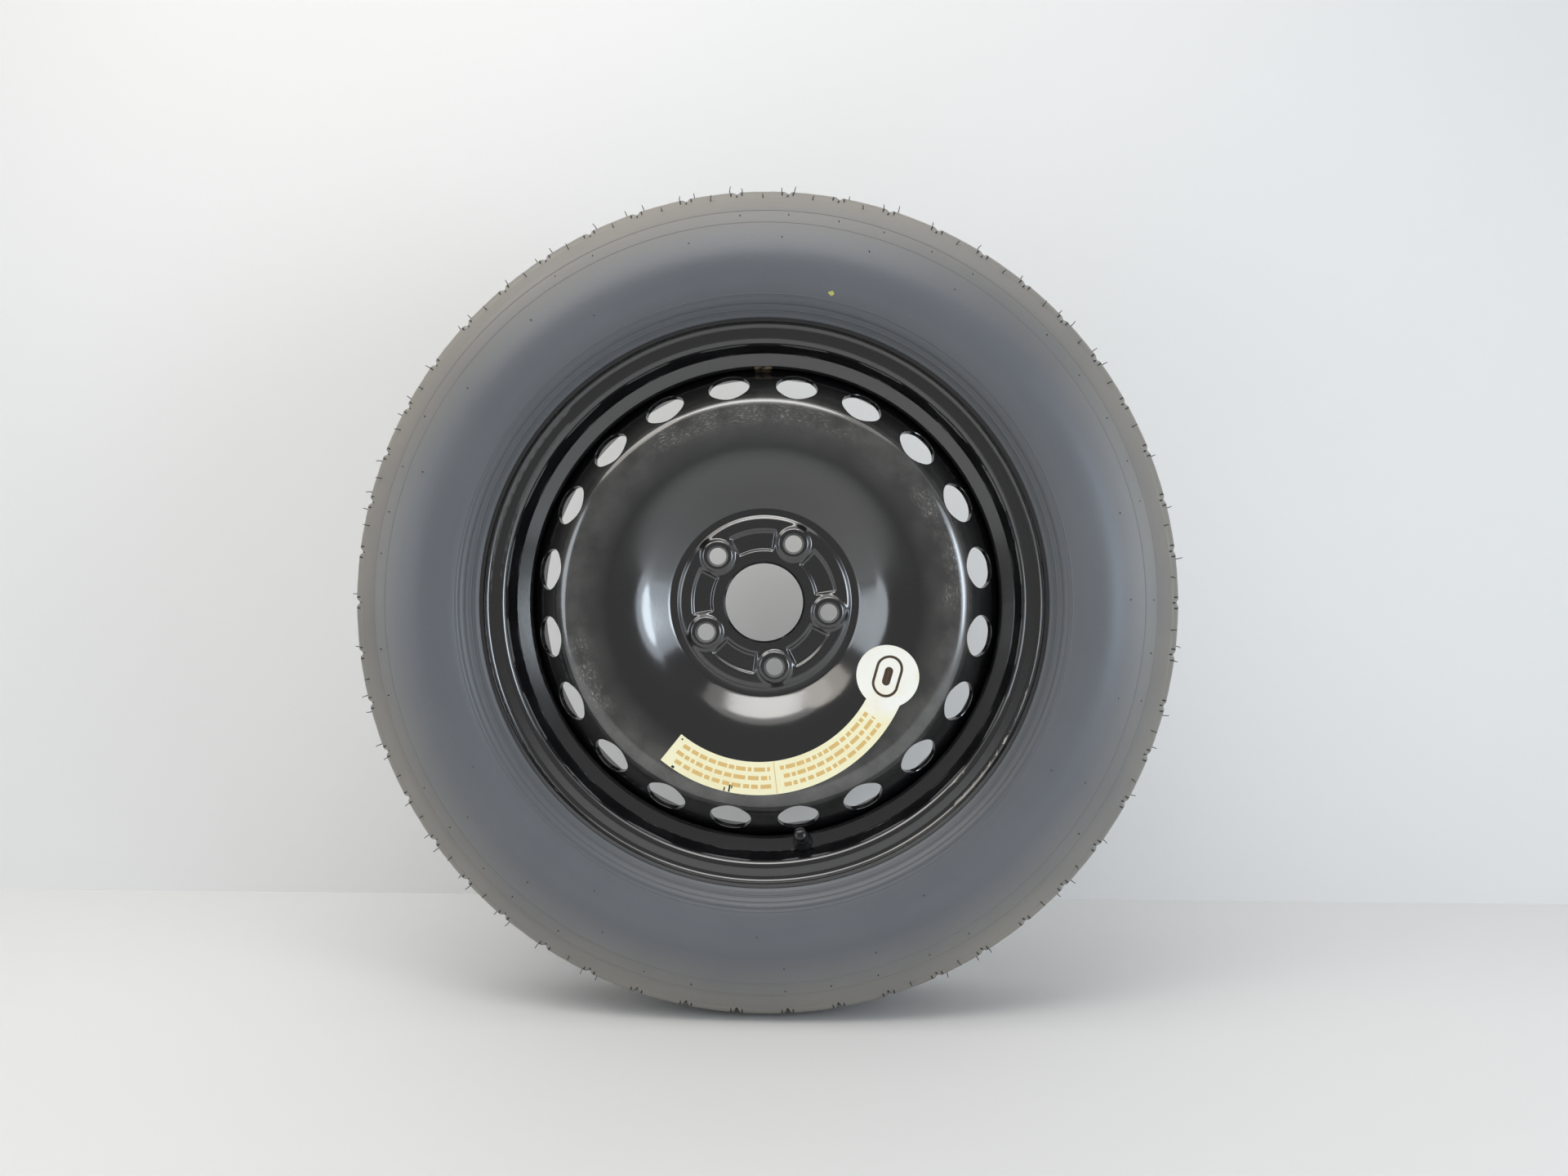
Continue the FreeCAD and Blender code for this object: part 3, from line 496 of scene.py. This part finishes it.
class DiscGrid:
    """Grid over the pressed disc, addressed by row along the sheet and turn about the axis."""

    def __init__(self):
        self.path = bent_path(DISC_POINTS, DISC_BENDS, DISC_STEPS)
        self.lengths = [0.0]
        for before, after in zip(self.path, self.path[1:]):
            self.lengths.append(self.lengths[-1] + math.dist(before[:2], after[:2]))
        self.rows = len(self.path)
        self.places = [[(length, turn * 360.0 / DISC_TURNS) for turn in range(DISC_TURNS)]
                       for length in self.lengths]
        self.places[1] = [(BORE_CHAMFER, angle) for _, angle in self.places[1]]
        self.open = set()

    def at_length(self, length):
        """Middle of the sheet and its normal, by length along the sheet from the bore."""
        row = 0
        while row < self.rows - 2 and self.lengths[row + 1] < length:
            row += 1
        share = (length - self.lengths[row]) / (self.lengths[row + 1] - self.lengths[row])
        return [low + (high - low) * share for low, high in zip(self.path[row], self.path[row + 1])]

    def point(self, place, depth):
        """Point of the sheet at a depth below its outboard face."""
        radius, outboard, normal_radius, normal_outboard = self.at_length(place[0])
        lift = DISC_SHEET / 2 - depth
        return wheel_point(radius + normal_radius * lift, place[1],
                           outboard + normal_outboard * lift + relief(radius, place[1]))

    def cut(self, flat, unflat, radius):
        """Opens a round hole: flat takes a place to coordinates about its middle, unflat takes them back."""
        inside = set()
        for row in range(self.rows - 1):
            for turn in range(DISC_TURNS):
                corners = self.corners(row, turn)
                spots = [flat(self.places[r][t]) for r, t in corners]
                if max(math.hypot(*spot) for spot in spots) > 2 * radius:
                    continue
                middle = (sum(x for x, y in spots) / 4, sum(y for x, y in spots) / 4)
                if math.hypot(*middle) < radius:
                    inside.add((row, turn))
        rim = set()
        for row, turn in inside:
            for r, t in self.corners(row, turn):
                around = [(r - 1, t), (r, t), (r - 1, (t - 1) % DISC_TURNS), (r, (t - 1) % DISC_TURNS)]
                if any(cell not in inside for cell in around):
                    rim.add((r, t))
        for r, t in rim:
            x, y = flat(self.places[r][t])
            scale = radius / math.hypot(x, y)
            self.places[r][t] = unflat(x * scale, y * scale)
        self.open |= inside
        return sorted(rim, key=lambda key: math.atan2(*reversed(flat(self.places[key[0]][key[1]]))))

    def corners(self, row, turn):
        after = (turn + 1) % DISC_TURNS
        return [(row, turn), (row, after), (row + 1, after), (row + 1, turn)]


def turn_between(angle, middle):
    return (angle - middle + 180.0) % 360.0 - 180.0


def lug_frame(middle):
    """Flat coordinates about a lug on the hub plate, where length along the sheet is radius."""
    def flat(place):
        turn = math.radians(turn_between(place[1], middle))
        radius = place[0] + BORE_RADIUS
        return radius * math.cos(turn) - PITCH_RADIUS, radius * math.sin(turn)

    def unflat(x, y):
        radius = math.hypot(x + PITCH_RADIUS, y)
        return radius - BORE_RADIUS, middle + math.degrees(math.atan2(y, x + PITCH_RADIUS))
    return flat, unflat


def vent_frame(grid, middle):
    """Flat coordinates about a vent on the developed cone."""
    start, end = DISC_POINTS[CONE_CORNER:CONE_CORNER + 2]
    cone_length = math.dist(start, end)
    middle_point = [(low + high) / 2 for low, high in zip(start, end)]
    nearest = min(range(grid.rows), key=lambda row: math.dist(grid.path[row][:2], middle_point))
    along = Vector(end) - Vector(start)
    offset = (Vector(middle_point) - Vector(grid.path[nearest][:2])).dot(along) / cone_length
    length = grid.lengths[nearest] + offset
    radius = middle_point[0]

    def flat(place):
        return place[0] - length, math.radians(turn_between(place[1], middle)) * radius

    def unflat(x, y):
        return length + x, middle + math.degrees(y / radius)
    return flat, unflat


def build_disc():
    """Pressed disc with rounded pressings, lug seats, bore edge and sheared vents."""
    grid = DiscGrid()
    lug_angles = [FIRST_LUG_ANGLE + index * 360.0 / LUG_COUNT for index in range(LUG_COUNT)]
    vent_angles = [FIRST_LUG_ANGLE + index * 360.0 / VENT_COUNT for index in range(VENT_COUNT)]
    hole_places = {}
    loops = []

    def open_hole(flat, unflat, radius, rings):
        """Cuts a hole, and notes for each point of its edge the places of the rings down its wall."""
        loops.append(grid.cut(flat, unflat, radius))
        for r, t in loops[-1]:
            x, y = flat(grid.places[r][t])
            hole_places[(r, t)] = [(unflat(x * ring / radius, y * ring / radius), depth)
                                   for ring, depth in rings]

    for angle in lug_angles:
        open_hole(*lug_frame(angle), LUG_SEAT_RADIUS,
                  [(LUG_HOLE_RADIUS, LUG_SEAT_DEPTH), (LUG_HOLE_RADIUS, DISC_SHEET)])
    for angle in vent_angles:
        open_hole(*vent_frame(grid, angle), VENT_RADIUS + VENT_EDGE,
                  [(VENT_RADIUS, VENT_EDGE), (VENT_RADIUS, DISC_SHEET)])

    vertices = []
    faces = []
    index = {}

    def vertex(key, point):
        if key not in index:
            index[key] = len(vertices)
            vertices.append(point)
        return index[key]

    def side(r, t, depth):
        below = BORE_CHAMFER if r == 0 and depth == 0.0 else depth
        return vertex((r, t, depth), grid.point(grid.places[r][t], below))

    def back(r, t):
        if (r, t) in hole_places:
            place, depth = hole_places[(r, t)][-1]
            return vertex((r, t, "back"), grid.point(place, depth))
        return side(r, t, DISC_SHEET)

    for row in range(grid.rows - 1):
        for turn in range(DISC_TURNS):
            if (row, turn) in grid.open:
                continue
            corners = grid.corners(row, turn)
            faces.append([side(r, t, 0.0) for r, t in corners])
            faces.append([back(r, t) for r, t in reversed(corners)])
    for loop in loops:
        for (r, t), (r2, t2) in zip(loop, loop[1:] + loop[:1]):
            near, near2 = side(r, t, 0.0), side(r2, t2, 0.0)
            last_level = len(hole_places[(r, t)]) - 1
            for level in range(last_level + 1):
                if level == last_level:
                    far, far2 = back(r, t), back(r2, t2)
                else:
                    far = vertex((r, t, level, "wall"), grid.point(*hole_places[(r, t)][level]))
                    far2 = vertex((r2, t2, level, "wall"), grid.point(*hole_places[(r2, t2)][level]))
                faces.append([near, near2, far2, far])
                near, near2 = far, far2
    for turn in range(DISC_TURNS):
        after = (turn + 1) % DISC_TURNS
        end = grid.rows - 1
        faces.append([side(end, turn, 0.0), side(end, after, 0.0), side(end, after, DISC_SHEET),
                      side(end, turn, DISC_SHEET)])
        faces.append([side(0, after, 0.0), side(0, turn, 0.0), side(0, turn, DISC_SHEET),
                      side(0, after, DISC_SHEET)])
    return mesh_piece("pressed_disc", vertices, faces, materials["black_paint"], "wheel", 40.0)


disc = build_disc()
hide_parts("wheel_disc")


# Tyre side


def face_finder(name):
    """Function that gives the outboard surface of a solid, and its normal, at a radius and angle."""
    mesh = nodes[name].data
    tree = BVHTree.FromPolygons([vertex.co for vertex in mesh.vertices],
                                [tuple(polygon.vertices) for polygon in mesh.polygons])

    def find(radius, angle):
        start = wheel_point(radius, angle, FINDER_START)
        return tree.ray_cast(start, Vector((0.0, 1.0, 0.0)))[:2]
    return find


def ring_band(name, section, turns, toothed=False):
    """Raised ring on the tyre's side; its section is (radius, height) pairs from inside to outside."""
    vertices = []
    faces = []
    count = len(section)
    for turn in range(turns):
        share = TOOTH_LOW if toothed and turn % 2 else 1.0
        for radius, height in section:
            place, normal = tyre_face(radius, turn * 360.0 / turns)
            vertices.append(place + normal * height * share * MM)
    for turn in range(turns):
        row = turn * count
        after = (turn + 1) % turns * count
        for index in range(count - 1):
            faces.append([row + index, row + index + 1, after + index + 1, after + index])
    return mesh_piece(name, vertices, faces, materials["tyre_rubber"], "wheel", 60.0)


def rib_section(radius, width, height):
    return [(radius - width / 2, RIB_SINK), (radius - width / 4, height), (radius + width / 4, height),
            (radius + width / 2, RIB_SINK)]


def add_whisker(vertices, faces, start, directions, length, radius):
    """Thin rubber whisker that follows a run of directions."""
    first = len(vertices)
    step = length / len(directions)
    middle = start - directions[0] * step * HAIR_ROOT
    across = directions[0].orthogonal().normalized()
    rings = len(directions) + 1
    for ring in range(rings):
        along = directions[min(ring, len(directions) - 1)]
        side = (across - along * across.dot(along)).normalized()
        other = along.cross(side)
        size = radius * (1.0 - HAIR_TAPER * ring / rings)
        for corner in range(HAIR_SIDES):
            turn = 2 * math.pi * corner / HAIR_SIDES
            vertices.append(middle + (side * math.cos(turn) + other * math.sin(turn)) * size)
        middle = middle + along * step
    for ring in range(rings - 1):
        low = first + ring * HAIR_SIDES
        for corner in range(HAIR_SIDES):
            after = (corner + 1) % HAIR_SIDES
            faces.append([low + corner, low + after, low + HAIR_SIDES + after, low + HAIR_SIDES + corner])
    faces.append([first + (rings - 1) * HAIR_SIDES + corner for corner in range(HAIR_SIDES)])


def build_whiskers():
    """Vent hairs at the shoulder notches, and short trimmed stubs on the side."""
    dice = random.Random(TYRE_SEED)
    vertices = []
    faces = []
    pitch = 360.0 / NOTCH_COUNT
    for index in range(NOTCH_COUNT):
        for offset, radius in HAIR_PLACES:
            angle = (index * pitch + offset + dice.uniform(*HAIR_DRIFT)) % 360.0
            if FLOOR_ANGLES[0] < angle < FLOOR_ANGLES[1] or dice.random() < HAIR_LOSS:
                continue
            place, normal = tyre_face(radius, angle)
            turn = math.radians(angle)
            outward = Vector((math.cos(turn), 0.0, math.sin(turn)))
            sway = Vector([dice.uniform(-reach, reach) for reach in HAIR_SWAY])
            upright = normal + outward * HAIR_OUTWARD
            directions = [(upright + sway * lean).normalized() for lean in HAIR_LEANS]
            length = dice.uniform(*HAIR_LENGTHS) * MM
            add_whisker(vertices, faces, place, directions, length, HAIR_RADIUS * MM)
    for radius, count, loss in STUB_RINGS:
        for index in range(count):
            angle = index * 360.0 / count + dice.uniform(*STUB_DRIFT)
            if dice.random() < loss:
                continue
            place, normal = tyre_face(radius + dice.uniform(*STUB_SHIFT), angle)
            length = dice.uniform(*STUB_LENGTHS) * MM
            add_whisker(vertices, faces, place, [normal, normal], length, STUB_RADIUS * MM)
    return mesh_piece("vent_hairs", vertices, faces, materials["black_and_sipe_shade"], "wheel", 60.0)


def build_sipe_shade():
    """Painted shade of the narrow cuts beside each shoulder notch, as dark strips that follow the shoulder.
    """
    vertices = []
    faces = []
    pitch = 360.0 / NOTCH_COUNT
    for index in range(NOTCH_COUNT):
        for offset, low, high in SIPES:
            first = len(vertices)
            for step in range(SIPE_STEPS + 1):
                radius = low + (high - low) * step / SIPE_STEPS
                taper = max(SIPE_END, 1.0 - (2.0 * step / SIPE_STEPS - 1.0) ** 4)
                half_width = SIPE_WIDTH / 2 * math.sqrt(taper)
                for side in (-half_width, half_width):
                    angle = index * pitch + math.degrees((offset + side) / radius)
                    place, normal = tyre_face(radius, angle)
                    vertices.append(place + normal * SIPE_LIFT * MM)
            for step in range(SIPE_STEPS):
                row = first + 2 * step
                faces.append([row, row + 2, row + 3, row + 1])
    return mesh_piece("shoulder_sipe_shade", vertices, faces, materials["black_and_sipe_shade"], "wheel")


def build_crayon_mark():
    """Dab of yellow crayon near the bead."""
    dice = random.Random(TYRE_SEED)
    radius, angle, size = CRAYON_MARK
    middle, normal = tyre_face(radius, angle)
    vertices = [middle + normal * CRAYON_LIFT * MM]
    for index in range(CRAYON_CORNERS):
        turn = 2 * math.pi * index / CRAYON_CORNERS
        reach = size * dice.uniform(*CRAYON_REACH)
        spin = math.degrees(reach * math.cos(turn) / radius)
        place, normal = tyre_face(radius + CRAYON_SQUASH * reach * math.sin(turn), angle - spin)
        vertices.append(place + normal * CRAYON_LIFT * MM)
    faces = [[0, index + 1, (index + 1) % CRAYON_CORNERS + 1] for index in range(CRAYON_CORNERS)]
    return mesh_piece("crayon_mark", vertices, faces, materials["crayon_yellow"], "wheel")


tyre_face = face_finder("tyre")
serrations = [(SERRATION_RADIUS, RIB_SINK), (SERRATION_RADIUS + SERRATION_EDGE, SERRATION_HEIGHT),
              (SERRATION_RADIUS + SERRATION_WIDTH - SERRATION_EDGE, SERRATION_HEIGHT),
              (SERRATION_RADIUS + SERRATION_WIDTH, RIB_SINK)]
ring_band("bead_serrations", serrations, 2 * SERRATION_COUNT, True)
for rib_index, (rib_radius, rib_width, rib_height) in enumerate(RIBS):
    ring_band("side_rib_%d" % rib_index, rib_section(rib_radius, rib_width, rib_height), RIB_TURNS)
build_whiskers()
build_sipe_shade()
build_crayon_mark()


# Print on the decal


def build_print(name, patches, material, lift):
    """Flat patches on the decal; each is a closed run of (radius, angle) about the decal's centre."""
    vertices = []
    faces = []
    for patch in patches:
        first = len(vertices)
        for radius, angle in patch:
            turn = math.radians(angle)
            x = DECAL_CENTRE[0] + radius * math.cos(turn)
            z = DECAL_CENTRE[1] + radius * math.sin(turn)
            place, normal = decal_face(math.hypot(x, z), math.degrees(math.atan2(z, x)))
            if place is None:
                break
            vertices.append(place + normal * lift * MM)
        else:
            half_count = len(patch) // 2
            for step in range(half_count - 1):
                faces.append([first + step, first + half_count + step, first + half_count + step + 1,
                              first + step + 1])
            continue
        del vertices[first:]
    return mesh_piece(name, vertices, faces, material, "wheel")


def bar(radius, height, start, end):
    """Bar along the decal: its inner edge, then its outer edge."""
    count = max(2, math.ceil((end - start) / PRINT_STEP) + 1)
    angles = [start + (end - start) * index / (count - 1) for index in range(count)]
    inner = [(radius - height / 2, angle) for angle in angles]
    outer = [(radius + height / 2, angle) for angle in angles]
    return inner + outer


def near_head(x, y):
    """Place beside the middle of the decal's head, along and across the decal, as (radius, angle)."""
    return HEAD_PITCH + y, HEAD_ANGLE + math.degrees(x / HEAD_PITCH)


def outline_patch(half_length, radius, width):
    """Ring in the shape of a stadium about the middle of the head."""
    inner = []
    outer = []
    for index in range(STADIUM_STEPS + 1):
        turn = 2 * math.pi * index / STADIUM_STEPS
        shift = math.copysign(half_length, math.cos(turn))
        inner.append(near_head(shift + radius * math.cos(turn), radius * math.sin(turn)))
        outer.append(near_head(shift + (radius + width) * math.cos(turn), (radius + width) * math.sin(turn)))
    return inner + outer


def print_bars():
    """Rows of bars of random lengths in each field of print."""
    dice = random.Random(DECAL_SEED)
    patches = []
    for start, end in PRINT_FIELDS:
        for radius in PRINT_ROWS:
            angle = start + dice.uniform(*BAR_STARTS)
            while angle < end:
                stop = min(end, angle + dice.uniform(*BAR_TURNS))
                patches.append(bar(radius, PRINT_HEIGHT, angle, stop))
                angle = stop + dice.uniform(*BAR_GAPS)
    return patches


decal_face = face_finder("decal")
build_print("decal_bars", print_bars(), materials["print_orange"], PRINT_LIFT)
divider = bar((DECAL_INNER + DECAL_OUTER) / 2, DECAL_OUTER - DECAL_INNER - DIVIDER_MARGIN,
              DIVIDER_ANGLE - DIVIDER_TURN, DIVIDER_ANGLE + DIVIDER_TURN)
build_print("decal_divider", [divider], materials["print_orange"], PRINT_LIFT)
badge = [outline_patch(*ring) for ring in BADGE_RINGS]
build_print("decal_badge", badge, materials["print_brown"], PRINT_LIFT)
tears = [bar(radius, height, start, start + turn) for radius, height, start, turn in DECAL_TEARS]
build_print("decal_tears", tears, materials["black_and_sipe_shade"], TEAR_LIFT)


# Threaded valve stem


def build_stem():
    """Valve stem with its screw thread, turned about the valve's own axis."""
    across = VALVE_AXIS.orthogonal().normalized()
    other = VALVE_AXIS.cross(across)
    profile = []
    next_points = STEM_PROFILE[1:] + STEM_PROFILE[:1]
    for (radius, height), (next_radius, next_height) in zip(STEM_PROFILE, next_points):
        threaded = radius == THREAD_RADIUS and next_radius == THREAD_RADIUS
        count = THREAD_ROWS if threaded else 1
        for index in range(count):
            share = index / count
            profile.append((radius + (next_radius - radius) * share, height + (next_height - height) * share,
                            threaded and 0 < index))
    vertices = []
    faces = []
    rows = len(profile)
    for turn in range(STEM_TURNS):
        angle = 2 * math.pi * turn / STEM_TURNS
        outward = across * math.cos(angle) + other * math.sin(angle)
        for radius, height, threaded in profile:
            wave = abs((height / THREAD_PITCH - turn / STEM_TURNS) % 1.0 * 2.0 - 1.0)
            size = radius - THREAD_DEPTH * wave if threaded else radius
            vertices.append(VALVE_BASE + (outward * size + VALVE_AXIS * height) * MM)
    for turn in range(STEM_TURNS):
        after = (turn + 1) % STEM_TURNS
        for row in range(rows):
            next_row = (row + 1) % rows
            faces.append([turn * rows + row, after * rows + row, after * rows + next_row,
                          turn * rows + next_row])
    return mesh_piece("threaded_stem", vertices, faces, materials["brass"], "wheel", 30.0)


stem = build_stem()
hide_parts("valve_stem")


# Stage, light and camera


def stage_material():
    """Matt pale board, seen only from its lit side."""
    material, tree, shader = new_material("stage_board")
    place = add(tree, "TexCoord").outputs["Object"]
    drift = noise(tree, place, 1.5, 2.0)
    link(tree, mixed(tree, drift, STAGE_DARKER, STAGE_COLOUR), shader, "Base Color")
    shader.inputs["Roughness"].default_value = 0.6
    clear = add(tree, "BsdfTransparent")
    facing = add(tree, "NewGeometry").outputs["Backfacing"]
    mix = add(tree, "MixShader", {0: facing, 1: shader.outputs[0], 2: clear.outputs[0]})
    tree.links.new(mix.outputs[0], tree.nodes["Material Output"].inputs["Surface"])
    return material


def stage_board(name, corners, material):
    mesh = bpy.data.meshes.new(name)
    mesh.from_pydata(corners, [], [(0, 1, 2, 3)])
    mesh.materials.append(material)
    board = bpy.data.objects.new(name, mesh)
    bpy.context.scene.collection.objects.link(board)


board_material = stage_material()
floor_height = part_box("tyre")[0][2]
half = STAGE_SIZE / 2
stage_board("floor", [(-half, -half, floor_height), (half, -half, floor_height), (half, half, floor_height),
                      (-half, half, floor_height)], board_material)
stage_board("backdrop", [(-half, WALL_DISTANCE, floor_height), (half, WALL_DISTANCE, floor_height),
                         (half, WALL_DISTANCE, half), (-half, WALL_DISTANCE, half)], board_material)


def room():
    """Pale background for the camera, bright sides for glossy rays, an even light for the rest."""
    world = bpy.data.worlds.new("room")
    bpy.context.scene.world = world
    world.use_nodes = True
    tree = world.node_tree
    background = tree.nodes["Background"]
    direction = add(tree, "TexCoord").outputs["Generated"]
    parts = add(tree, "SeparateXYZ", {0: direction})
    front = ranged(tree, parts.outputs["Y"], -0.5, -0.1, 1.0, 0.0)
    around = mixed(tree, front, ROOM_SIDES, ROOM_FRONT)
    path = add(tree, "LightPath")
    shiny = math_of(tree, "MAXIMUM", path.outputs["Is Glossy Ray"], path.outputs["Is Transmission Ray"])
    height = ranged(tree, parts.outputs["Z"], -0.2, 0.7, 0.0, 1.0)
    even = mixed(tree, height, ROOM_BELOW, ROOM_ABOVE)
    dim = mixed(tree, shiny, even, around)
    seen = mixed(tree, path.outputs["Is Camera Ray"], dim, BACKGROUND_COLOUR)
    tree.links.new(seen, background.inputs["Color"])


def soft_light(name, place, target, size, power, colour):
    """Oval soft light aimed at a point."""
    lamp = bpy.data.lights.new(name, "AREA")
    lamp.shape = "ELLIPSE"
    lamp.size, lamp.size_y = size
    lamp.energy = power
    lamp.color = colour
    holder = bpy.data.objects.new(name, lamp)
    holder.location = place
    holder.rotation_euler = (Vector(target) - Vector(place)).to_track_quat("-Z", "Y").to_euler()
    bpy.context.scene.collection.objects.link(holder)


room()
for lamp in LAMPS:
    soft_light(*lamp)

camera_data = bpy.data.cameras.new("photo_camera")
camera_data.lens = CAMERA_LENS
camera_data.sensor_width = SENSOR_WIDTH
camera = bpy.data.objects.new("photo_camera", camera_data)
camera.location = CAMERA_PLACE
camera.rotation_euler = (math.radians(CAMERA_TILT), 0.0, math.radians(CAMERA_TURN))
bpy.context.scene.collection.objects.link(camera)
bpy.context.scene.camera = camera
bpy.context.scene.view_settings.view_transform = "Standard"
